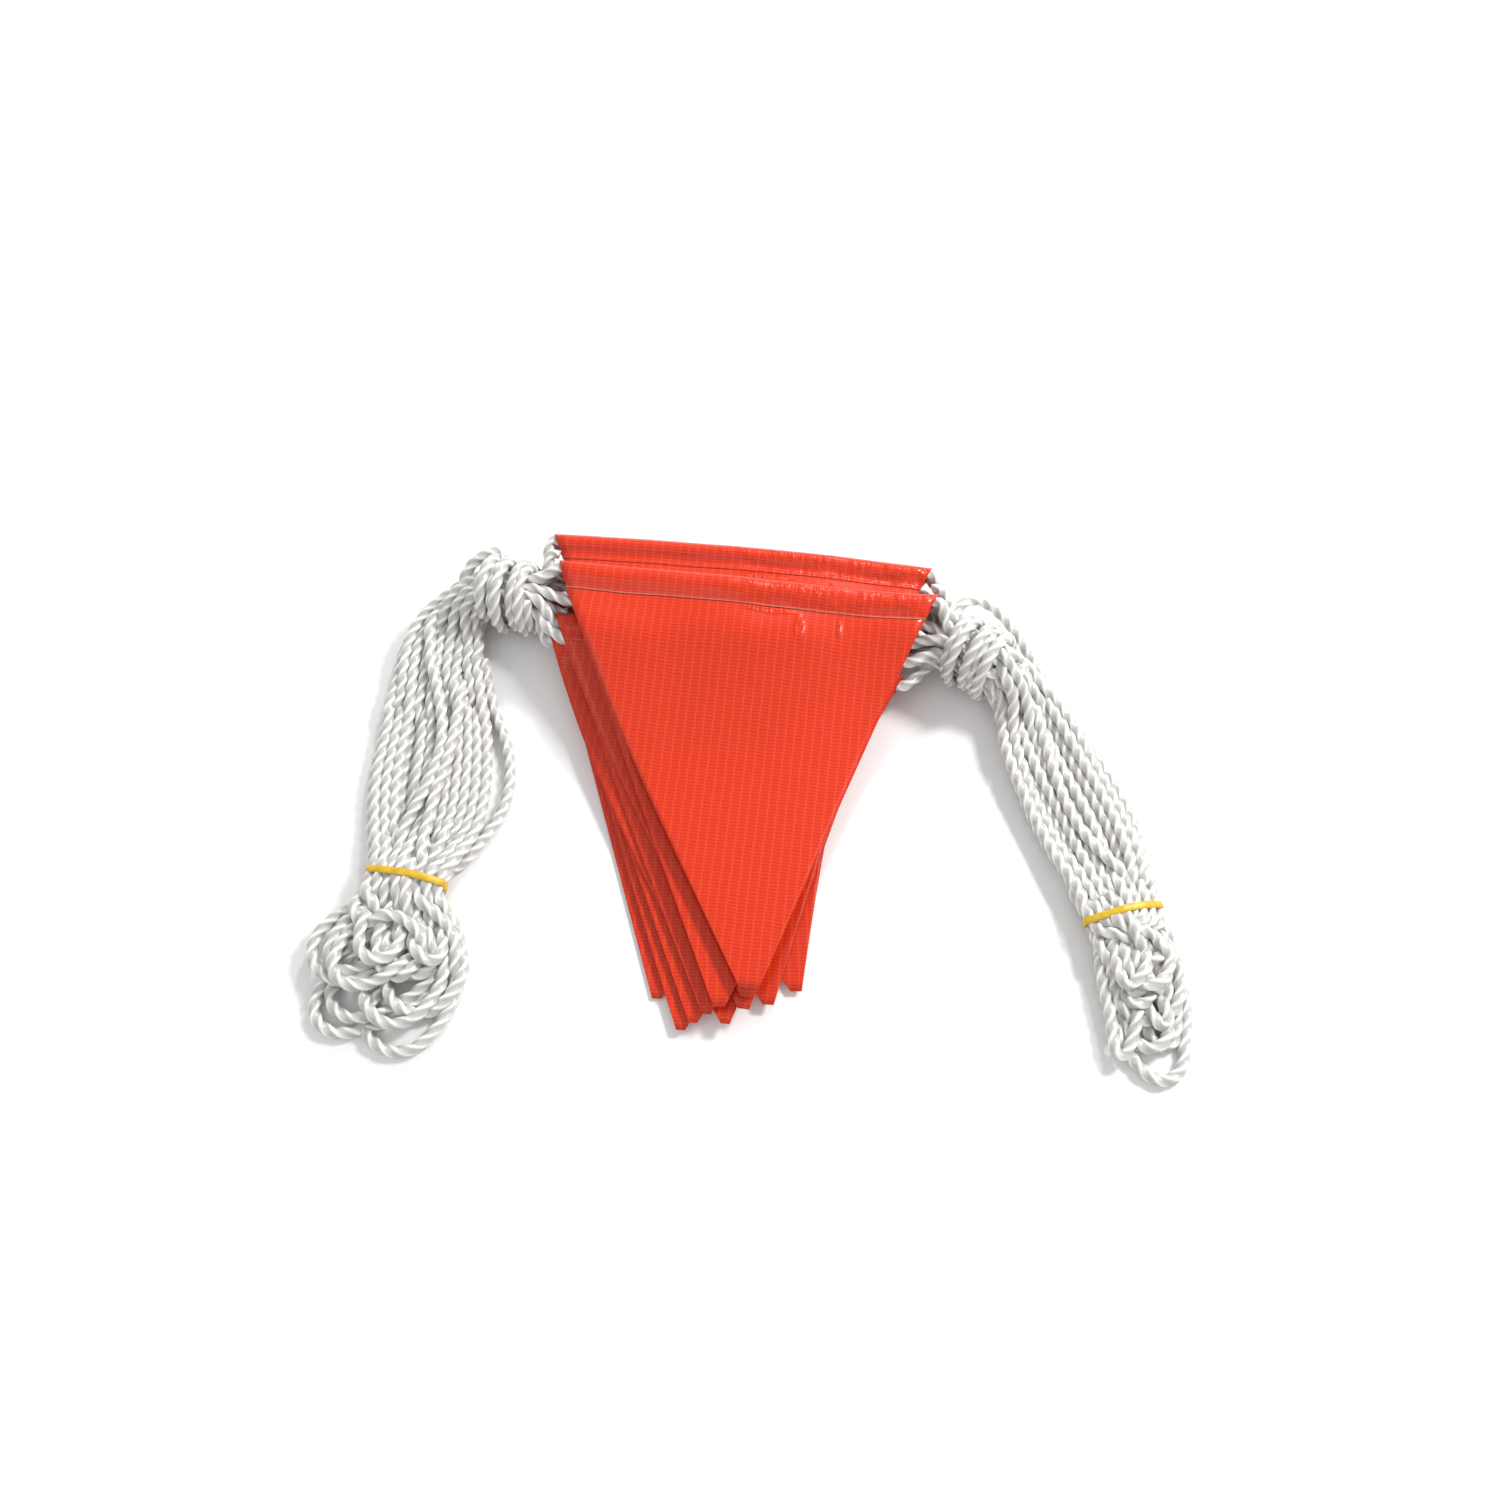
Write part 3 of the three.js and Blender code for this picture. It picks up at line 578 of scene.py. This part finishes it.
def addRope(whole, points, turn=0.0, inHems=(False, False)):
    plan = ropePlan
    route = evenRoute(points, plan["ring"])
    sides, ups = travelling(route)
    rings = len(route) - 1
    bm = bmesh.new()
    section = bmesh.ops.create_circle(bm, cap_ends=False, radius=1, segments=plan["sides"])["verts"]
    for vert, (angle, radius) in zip(section, ropeSection(plan)):
        vert.co = (radius * math.cos(angle), radius * math.sin(angle), 0)
    bmesh.ops.spin(bm, geom=bm.edges[:], cent=(0, 0, 0), axis=(0, 0, 1), dvec=(0, 0, 1),
                   angle=2 * math.pi * plan["ring"] * rings / plan["lay"], steps=rings)
    # the pattern follows the strands, so the twist of the lay is taken off the angle
    lay = bm.loops.layers.uv.new("lay")
    for face in bm.faces:
        around = []
        for loop in face.loops:
            x, y, z = loop.vert.co
            around.append(math.atan2(y, x) / (2 * math.pi) - z * plan["ring"] / plan["lay"])
        for loop, share in zip(face.loops, around):
            share -= round(share - around[0])
            loop[lay].uv = (share + turn, loop.vert.co.z * plan["ring"])
    bmesh.ops.holes_fill(bm, edges=[edge for edge in bm.edges if edge.is_boundary], sides=0)
    for vert in bm.verts:
        index = min(int(round(vert.co.z)), rings)
        fit = 1.0
        for tight, away in zip(inHems, (index, rings - index)):
            if tight:
                ease = min(away * plan["ring"] / plan["easing"], 1.0)
                fit = min(fit, plan["squeeze"] + (1 - plan["squeeze"]) * ease ** 2)
        place = route[index] + (sides[index] * vert.co.x + ups[index] * vert.co.y) * fit
        vert.co = setDown(*place)
    bmesh.ops.recalc_face_normals(bm, faces=bm.faces)
    mesh = bpy.data.meshes.new("length of rope")
    bm.to_mesh(mesh)
    bm.free()
    whole.from_mesh(mesh)
    bpy.data.meshes.remove(mesh)


# The hanks. Body: middle of the bundle, its width and its height, down to the band. Columns: how
# many ropes lie in each column across the band and the knot. Crossings: the rope that crosses, the
# one whose place it takes, and the shares of its way where that begins and ends. Loops, past the
# band: their two ropes, counted from the band's outer side, the height where the loop is farthest
# out, and its route. Strays: routes of single ropes beside the bundle.
leftHank = {
    "name": "ropesLeft", "node": "hank_left", "side": -1,
    "knot": {"x": -117, "y": 75, "z": 20, "length": 27, "radius": 15.3, "heading": 170, "turns": 5.2,
             "lean": 2.5},
    "body": [(-131, 78.5, 17, 31, 29), (-143, 73.5, 12, 39, 25), (-151, 61.5, 8.2, 44, 18),
             (-154, 45, 7.2, 46, 15), (-153.5, 22, 6.6, 49, 13.6), (-153, 0, 6.2, 57, 12.4),
             (-153.5, -20, 6, 60, 12), (-153.5, -38, 6.4, 57, 12.6), (-156, -55, 7.6, 47, 14),
             (-159, -69, 10.4, 33, 14), (-160.5, -77, 9.4, 35, 14)],
    "band": {"name": "rubberBandleft", "node": "band_left", "x": -159.2, "y": -70, "heading": -103},
    "columns": (2, 3, 3, 4, 4, 3, 3, 2),
    "knotColumns": (3, 6, 6, 6, 3),
    "crossings": [(7, 14, 0.34, 0.64), (18, 13, 0.5, 0.82)],
    "loops": [
        (0, 19, 2.8, [(-173, -91), (-184, -107), (-194, -120), (-197, -132), (-189, -141), (-174, -140),
                      (-157, -131), (-141, -119), (-134, -107), (-141, -92)]),
        (9, 18, 2.8, [(-161, -95), (-164, -112), (-170, -129), (-171, -142), (-160, -150), (-149, -149),
                      (-139, -138), (-133, -124), (-132, -110), (-137, -94)]),
        (3, 12, 7.5, [(-172, -79), (-181, -83), (-191, -88), (-198, -96), (-200, -106), (-194, -116),
                      (-182, -119), (-169, -114), (-162, -100)]),
        (21, 13, 7.5, [(-146, -88), (-141, -98), (-137, -115), (-143, -130), (-155, -139), (-167, -137),
                       (-174, -126), (-171, -108), (-163, -92)]),
        (2, 10, 11.5, [(-176, -80), (-181, -86), (-176, -91), (-165, -88), (-154, -91), (-148, -102),
                       (-151, -114), (-160, -118), (-168, -113), (-166, -95)]),
        (4, 16, 11.5, [(-174, -83), (-182, -94), (-188, -108), (-187, -118), (-177, -123), (-165, -119),
                       (-153, -112), (-147, -102), (-150, -90)]),
        (5, 11, 15.5, [(-172, -86), (-177, -98), (-175, -109), (-166, -113), (-158, -106), (-156, -92)]),
        (14, 20, 13.5, [(-153, -90), (-150, -104), (-144, -114), (-138, -110), (-139, -96)]),
        (1, 22, 5, [(-170, -90), (-179, -104), (-188, -116), (-190, -127), (-182, -135), (-168, -134),
                    (-152, -126), (-140, -114), (-136, -101), (-143, -90)]),
        (6, 15, 10, [(-169, -80), (-177, -86), (-185, -92), (-191, -100), (-191, -110), (-183, -116),
                     (-171, -113), (-160, -104), (-156, -92)]),
        (23, 17, 6, [(-143, -86), (-136, -96), (-131, -110), (-134, -125), (-146, -134), (-158, -131),
                     (-165, -118), (-163, -104), (-158, -92)]),
        (7, 8, 10.5, [(-164, -88), (-166, -100), (-160, -112), (-149, -118), (-141, -112), (-143, -100),
                      (-150, -90)]),
    ],
    "strays": [
        [(-131, 44, 11), (-128.5, 28, 6.5), (-122.4, 12, 3.5), (-117, -1, 2.6), (-114.9, -16, 2.6),
         (-116.5, -31, 2.6), (-123, -44, 3), (-133, -56, 4.5), (-144, -67, 6), (-152, -78, 8)],
        [(-118, 86, 25), (-122, 90, 29), (-130, 93, 31), (-138, 91, 28), (-143, 83, 22), (-141, 74, 18)],
    ],
}
rightHank = {
    "name": "ropesRight", "node": "hank_right", "side": 1,
    "knot": {"x": 109.5, "y": 41.5, "z": 20, "length": 29, "radius": 15.3, "heading": -31, "turns": 5.2,
             "lean": -2.5},
    "body": [(121, 34, 17, 34, 28), (131.5, 24, 12, 41, 23), (138.5, 9.5, 8, 44, 17.5),
             (145.5, -8.5, 7, 47, 15), (153.5, -28, 6.4, 49, 13.4), (161, -47, 6.4, 49, 13.4),
             (166.5, -66, 7.4, 43, 14.4), (170, -86, 10.3, 32, 13.8), (171.6, -95, 9.4, 34, 14)],
    "band": {"name": "rubberBandright", "node": "band_right", "x": 170.4, "y": -88, "heading": -79},
    "columns": (2, 3, 3, 4, 4, 3, 3, 2),
    "knotColumns": (3, 6, 6, 6, 3),
    "crossings": [(8, 15, 0.3, 0.7)],
    "loops": [
        (21, 3, 2.8, [(182, -93), (190, -98), (194, -110), (194.5, -126), (193, -144), (192, -157),
                      (183, -164), (174, -160), (167, -149), (162, -132), (160, -110), (163, -97)]),
        (1, 12, 7, [(163, -98), (160, -112), (161, -131), (160, -147), (162, -156), (167, -151),
                    (172, -135), (172, -117), (172, -100)]),
        (0, 19, 7, [(161, -98), (163, -115), (167, -132), (177, -137), (189, -133), (194, -119),
                    (190, -103), (182, -95)]),
        (8, 22, 11, [(167, -98), (165, -106), (172, -111), (181, -112), (188, -105), (186, -97)]),
        (10, 17, 11, [(171, -98), (173, -110), (176, -123), (181, -127), (184, -119), (182, -103)]),
        (4, 15, 14.5, [(166, -99), (164, -116), (168, -126), (175, -119), (176, -102)]),
        (6, 13, 9.5, [(168, -100), (167, -122), (173, -131), (178, -120), (177, -103)]),
        (2, 20, 5, [(164, -99), (163, -114), (165, -130), (168, -144), (176, -150), (185, -147),
                    (189, -134), (188, -118), (183, -100)]),
        (23, 11, 4, [(184, -97), (189, -108), (191, -122), (190, -140), (186, -150), (179, -146),
                     (175, -132), (174, -116), (174, -101)]),
        (5, 18, 12.5, [(166, -98), (168, -110), (172, -120), (180, -124), (187, -118), (187, -106),
                       (182, -97)]),
        (7, 16, 9, [(168, -99), (166, -112), (165, -124), (170, -132), (177, -128), (179, -114),
                    (178, -101)]),
        (9, 14, 7, [(169, -97), (171, -108), (178, -116), (185, -127), (187, -138), (181, -142),
                    (176, -130), (172, -112), (173, -99)]),
    ],
    "strays": [
        [(95, 50, 26), (99, 54, 30), (102, 64, 31), (111, 69.5, 29), (121, 65, 25), (130, 55, 21),
         (137, 43, 17), (143, 30, 12), (146, 18, 9)],
    ],
}

# Second ropes go into the stack between the hems of two flags
betweenHems = [(15, 14), (15, 12), (9, 10), (11, 4), (1, 3), (13, 2), (10, 0), (8, 5)]

# The ropes' way from the hems to the band. They are packed in columns where the bundle is high, and
# side by side on two or three levels where it is flat.
strandPlan = {
    "outOfHem": (-7, -2, 2.5), "stations": 44, "mouth": 25, "throat": 23, "before": 0.6, "after": 0.5,
    "knotStep": 4.4, "bandAcross": 4.3, "bandUp": 4.5, "flatBelow": (15.5, 25), "tiedFromEnd": (9, 3),
    "edge": 5, "threeLevels": (44, 54), "lowest": 2.7, "level": 4.2,
    "humpEase": 0.05, "overTop": 12.5, "comeBack": (0.04, 0.22), "comeDown": (0.12, 0.24),
    "loopRoot": 9.5, "loopEase": 3,
}


def ropePlaces(columns, acrossStep, upStep):
    # places of the ropes in a section, column by column from one side to the other
    places = []
    for index, count in enumerate(columns):
        for level in range(count):
            places.append(((index - (len(columns) - 1) / 2) * acrossStep,
                           (level - (count - 1) / 2) * upStep))
    return np.array(places)


def knotMiddle(knot):
    return np.array([knot["x"], knot["y"], knot["z"]]), pointing(knot["heading"])


def hankStations(hank):
    # middle, width and height of the bundle on its way, and the direction across it
    plan = strandPlan
    knot = hank["knot"]
    centre, heading = knotMiddle(knot)
    mouth, throat = (plan["mouth"],) * 2, (plan["throat"],) * 2
    rows = np.array([(*(centre - heading * knot["length"] * plan["before"]), *mouth),
                     (*centre, *throat),
                     (*(centre + heading * knot["length"] * plan["after"]), *mouth),
                     *hank["body"]], float)
    stations = throughPoints(rows, np.linspace(0, 1, plan["stations"]))
    headings = np.gradient(stations[:, :3], axis=0)
    headings[:, 2] = 0
    headings /= np.linalg.norm(headings, axis=1)[:, None]
    return stations, np.cross(headings, (0, 0, 1)) * hank["side"]


def hemEnds(side):
    # each rope's first points, from inside its hem outwards
    ends = []
    for order, flag in enumerate(flagRows):
        reach = side * flag["wide"] / 2
        line = [flagPoint(flag, reach + side * out, stackPlan["inset"])
                for out in strandPlan["outOfHem"]]
        height = float(heightAt(order, *flagPoint(flag, reach, stackPlan["inset"])))
        ends.append([(x, y, height + stackPlan["ropeHeight"]) for x, y in line])
    for one, other in betweenHems:
        pairs = zip(ends[one], ends[other])
        ends.append([tuple((np.array(p) + np.array(q)) / 2) for p, q in pairs][1:])
    return ends


def dealt(ends, entry, columns):
    # the ropes go to the knot's columns by their place along the stack's side, the lowest first
    outers = np.array([end[-1] for end in ends])
    rank = np.argsort(outers @ entry)
    counts = np.cumsum((0,) + columns)
    ordered = []
    for first, last in zip(counts, counts[1:]):
        ordered += sorted(rank[first:last], key=lambda order: outers[order][2])
    return [ends[order] for order in ordered]


def crossOver(route, other, begin, finish):
    # a rope leaves its place for another's, over the ropes between, and comes back
    plan = strandPlan
    for index, t in enumerate(np.linspace(0, 1, len(route))):
        up = easeTo(t, begin - plan["humpEase"], begin + plan["humpEase"])
        hump = min(up, 1 - easeTo(t, *(finish + late for late in plan["comeDown"])))
        if hump > 0:
            away = easeTo(t, begin, finish)
            back = easeTo(t, *(finish + late for late in plan["comeBack"]))
            move = (other[index] - route[index]) * away * (1 - back)
            route[index, :2] += move[:2]
            route[index, 2] += (plan["overTop"] - route[index, 2]) * hump


def strandRoutes(hank):
    # the ropes from their hems through the knot and the body to the band
    plan = strandPlan
    stations, lateral = hankStations(hank)
    knotPlaces = ropePlaces(hank["knotColumns"], plan["knotStep"], plan["knotStep"])
    bandPlaces = ropePlaces(hank["columns"], plan["bandAcross"], plan["bandUp"])
    last = len(bandPlaces) - 1
    tiedFrom, tiedTo = (len(stations) - early for early in plan["tiedFromEnd"])
    routes = []
    for place, end in enumerate(dealt(hemEnds(hank["side"]), lateral[0], hank["knotColumns"])):
        route = list(end)
        for index, (station, sideways) in enumerate(zip(stations, lateral)):
            wide, high = station[3], station[4]
            flat = 1 - easeTo(high, *plan["flatBelow"])
            tied = easeTo(index, tiedFrom, tiedTo)
            spread = (place - last / 2) * (wide - plan["edge"]) / last
            deep = 1 - easeTo(wide, *plan["threeLevels"])
            level = plan["lowest"] + plan["level"] * (place % 2 * (1 - deep) + place % 3 * deep)
            a, b = knotPlaces[place]
            point = station[:3] + sideways * (a * (1 - flat) + spread * flat)
            point[2] = (station[2] + b) * (1 - flat) + level * flat
            a, b = bandPlaces[place]
            tiedPoint = station[:3] + sideways * a
            tiedPoint[2] = station[2] + b
            route.append(tuple(point * (1 - tied) + tiedPoint * tied))
        routes.append(np.array(route))
    for place, aim, begin, finish in hank["crossings"]:
        crossOver(routes[place], routes[aim], begin, finish)
    return routes


def hankRoutes(hank):
    # two ropes and the loop that joins them past the band are one length
    plan = strandPlan
    routes = strandRoutes(hank)
    whole = []
    used = set()
    for first, last, level, line in hank["loops"]:
        ends = [abs(2 * i / (len(line) - 1) - 1) ** plan["loopEase"] for i in range(len(line))]
        loop = np.array([(x, y, level + (plan["loopRoot"] - level) * end)
                         for (x, y), end in zip(line, ends)])
        whole.append(np.vstack([routes[first], loop, routes[last][::-1]]))
        used |= {first, last}
    return whole + [routes[place] for place in range(len(routes)) if place not in used]


# Turns of rope round the knot, drawn in at its ends and a little uneven
knotPlan = {
    "points": 14, "start": 2.2, "drawIn": 0.18, "drawFrom": 0.85, "drawOver": 0.15, "uneven": 0.07,
    "unevenTurn": 0.61, "ends": 2, "wander": 1.6, "wanderTurn": 0.37, "tall": 1.12,
}


def knotTurns(knot):
    plan = knotPlan
    centre, heading = knotMiddle(knot)
    lateral = np.cross(heading, (0, 0, 1))
    points = []
    for t in np.linspace(0, 1, int(knot["turns"] * plan["points"])):
        angle = 2 * math.pi * knot["turns"] * t + plan["start"]
        draw = 1 - plan["drawIn"] * max(0, abs(2 * t - 1) - plan["drawFrom"]) / plan["drawOver"]
        radius = knot["radius"] * (draw + plan["uneven"] * math.sin(plan["unevenTurn"] * angle + 1))
        shift = (t - 0.5) * (knot["length"] - plan["ends"]) + knot["lean"] * math.sin(angle)
        shift += plan["wander"] * math.sin(plan["wanderTurn"] * angle)
        rise = np.array([0, 0, plan["tall"] * radius * math.sin(angle)])
        points.append(centre + heading * shift + lateral * radius * math.cos(angle) + rise)
    return np.array(points)


# Settling: ropes that overlap push each other aside, near the places that they start from
settlePlan = {
    "spacing": 3.2, "steps": 150, "home": 0.03, "even": 0.16, "push": 0.42,
    "apart": 4.6, "lookEvery": 8, "lookWithin": 1.7, "alongRope": 4, "heldEnds": 3, "give": 0.6,
}


def settled(routes, firm):
    plan = settlePlan
    chains = [evenRoute(route, plan["spacing"]) for route in routes]
    owner = np.concatenate([np.full(len(chain), index) for index, chain in enumerate(chains)])
    order = np.concatenate([np.arange(len(chain)) for chain in chains])
    length = np.array([len(chain) for chain in chains])[owner]
    points = np.concatenate(chains)
    home = points.copy()
    free = (owner != firm) & (order >= plan["heldEnds"]) & (order < length - plan["heldEnds"])
    width = plan["apart"]
    for step in range(plan["steps"]):
        if step % plan["lookEvery"] == 0:
            apart = points[:, None, :] - points[None, :, :]
            near = (apart ** 2).sum(axis=2) < (plan["lookWithin"] * width) ** 2
            a, b = np.nonzero(np.triu(near, 1))
            keep = (owner[a] != owner[b]) | (np.abs(order[a] - order[b]) > plan["alongRope"])
            a, b = a[keep], b[keep]
        points[free] += plan["home"] * (home[free] - points[free])
        middle = (np.roll(points, 1, axis=0) + np.roll(points, -1, axis=0)) / 2
        points[free] += plan["even"] * (middle[free] - points[free])
        gap = points[a] - points[b]
        far = np.linalg.norm(gap, axis=1) + 1e-6
        push = np.maximum(width - far, 0) / far * plan["push"]
        move = gap * push[:, None]
        shift = np.zeros_like(points)
        np.add.at(shift, a, move)
        np.add.at(shift, b, -move)
        points[free] += shift[free] * plan["give"]
        points[:, 2] = np.maximum(points[:, 2], ropePlan["diameter"] / 2)
    return [points[owner == index] for index in range(len(chains))]


def makeHank(hank):
    routes = hankRoutes(hank)
    strays = [np.array(stray) for stray in hank["strays"]]
    every = settled(routes + strays + [knotTurns(hank["knot"])], len(routes) + len(strays))
    ropes, turns = every[:-1], every[-1]
    bundle = bmesh.new()
    for index, route in enumerate(ropes):
        inHems = (index < len(routes), index < len(hank["loops"]))
        addRope(bundle, route, index * ropePlan["nextTurn"], inHems)
    collar = bmesh.new()
    addRope(collar, turns)
    pieces = [addPiece(hank["name"], bundle, laidRope), addPiece(hank["name"] + "Knot", collar, laidRope)]
    for piece in pieces:
        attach(piece, "root")
        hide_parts(hank["node"])
    return np.concatenate(ropes)


leftRopes = makeHank(leftHank)
rightRopes = makeHank(rightHank)
report("hanks")


# Rubber bands, drawn tight round the ropes that they hold. The section is spun as a thin ring of
# radius 1 first, and takes its real size when it is laid on the ropes.
bandPlan = {
    "cord": 1.3, "width": 3.6, "sides": 10, "steps": 90, "thin": 0.001, "near": 3.0, "beside": 30,
    "grip": 0.93, "wander": 0.5, "lowest": 0.2,
}


def makeBand(band, ropes):
    plan = bandPlan
    bm = bmesh.new()
    section = bmesh.ops.create_circle(bm, cap_ends=False, radius=1, segments=plan["sides"])["verts"]
    for vert in section:
        vert.co = (1 + vert.co.x * plan["thin"], 0, vert.co.y)
    bmesh.ops.spin(bm, geom=bm.edges[:], cent=(0, 0, 0), axis=(0, 0, 1), angle=2 * math.pi,
                   steps=plan["steps"], use_merge=True)
    heading = pointing(band["heading"])
    across = np.cross(heading, (0, 0, 1))
    up = np.array([0, 0, 1])
    centre = np.array([band["x"], band["y"], 0])
    away = ropes - centre
    held = ropes[(np.abs(away @ heading) < plan["near"]) & (np.abs(away @ across) < plan["beside"])]
    for vert in bm.verts:
        angle = math.atan2(vert.co.y, vert.co.x)
        out = (math.hypot(vert.co.x, vert.co.y) - 1) / plan["thin"] * plan["cord"] / 2
        outward = across * math.cos(angle) + up * math.sin(angle)
        rope = held[np.argmax(held @ outward)]
        place = rope - heading * np.dot(rope - centre, heading)
        place = place + outward * (ropePlan["diameter"] / 2 * plan["grip"] + out)
        shift = vert.co.z * plan["width"] / 2 + plan["wander"] * math.sin(2 * angle)
        place = place + heading * shift
        place[2] = max(place[2], plan["lowest"] + out)
        vert.co = setDown(*place)
    bmesh.ops.recalc_face_normals(bm, faces=bm.faces)
    piece = addPiece(band["name"], bm, rubber)
    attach(piece, "root")
    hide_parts(band["node"])


makeBand(leftHank["band"], leftRopes)
makeBand(rightHank["band"], rightRopes)
report("bands")


# Floor and air
stagePlan = {"half": 3.0, "fixed": {"Base Color": (0.86, 0.86, 0.86, 1), "Roughness": 0.9},
             "air": (1, 1, 1, 1), "airStrength": 0.68}


def makeStage(plan):
    bm = bmesh.new()
    bmesh.ops.create_grid(bm, x_segments=1, y_segments=1, size=plan["half"])
    made, _, _ = newMaterial("pale floor", plan["fixed"])
    addPiece("floor", bm, made, smooth=False)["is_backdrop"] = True
    world = bpy.data.worlds.new("soft air")
    world.use_nodes = True
    background = world.node_tree.nodes["Background"]
    background.inputs["Color"].default_value = plan["air"]
    background.inputs["Strength"].default_value = plan["airStrength"]
    bpy.context.scene.world = world


# Lamps: place in metres, size, power
lampRows = [
    ("key", (0.85, 0.45, 0.95), 0.24, 14.0),
    ("fill", (-0.9, -0.6, 1.3), 1.4, 4.0),
    ("back", (0.42, 1.3, 0.95), 0.14, 10.0),
]


def makeLamp(name, place, size, power):
    data = bpy.data.lights.new(name, "AREA")
    data.size = size
    data.energy = power
    lamp = bpy.data.objects.new(name, data)
    lamp.location = place
    lamp.rotation_euler = (-Vector(place)).to_track_quat("-Z", "Y").to_euler()
    bpy.context.collection.objects.link(lamp)


makeStage(stagePlan)
for row in lampRows:
    makeLamp(*row)
bpy.context.scene.view_settings.view_transform = "Standard"
report("stage and lamps")

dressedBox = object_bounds()
sizes = {"cad": [list(corner) for corner in solidBox], "scene": [list(corner) for corner in dressedBox]}
report("sizes", sizes)
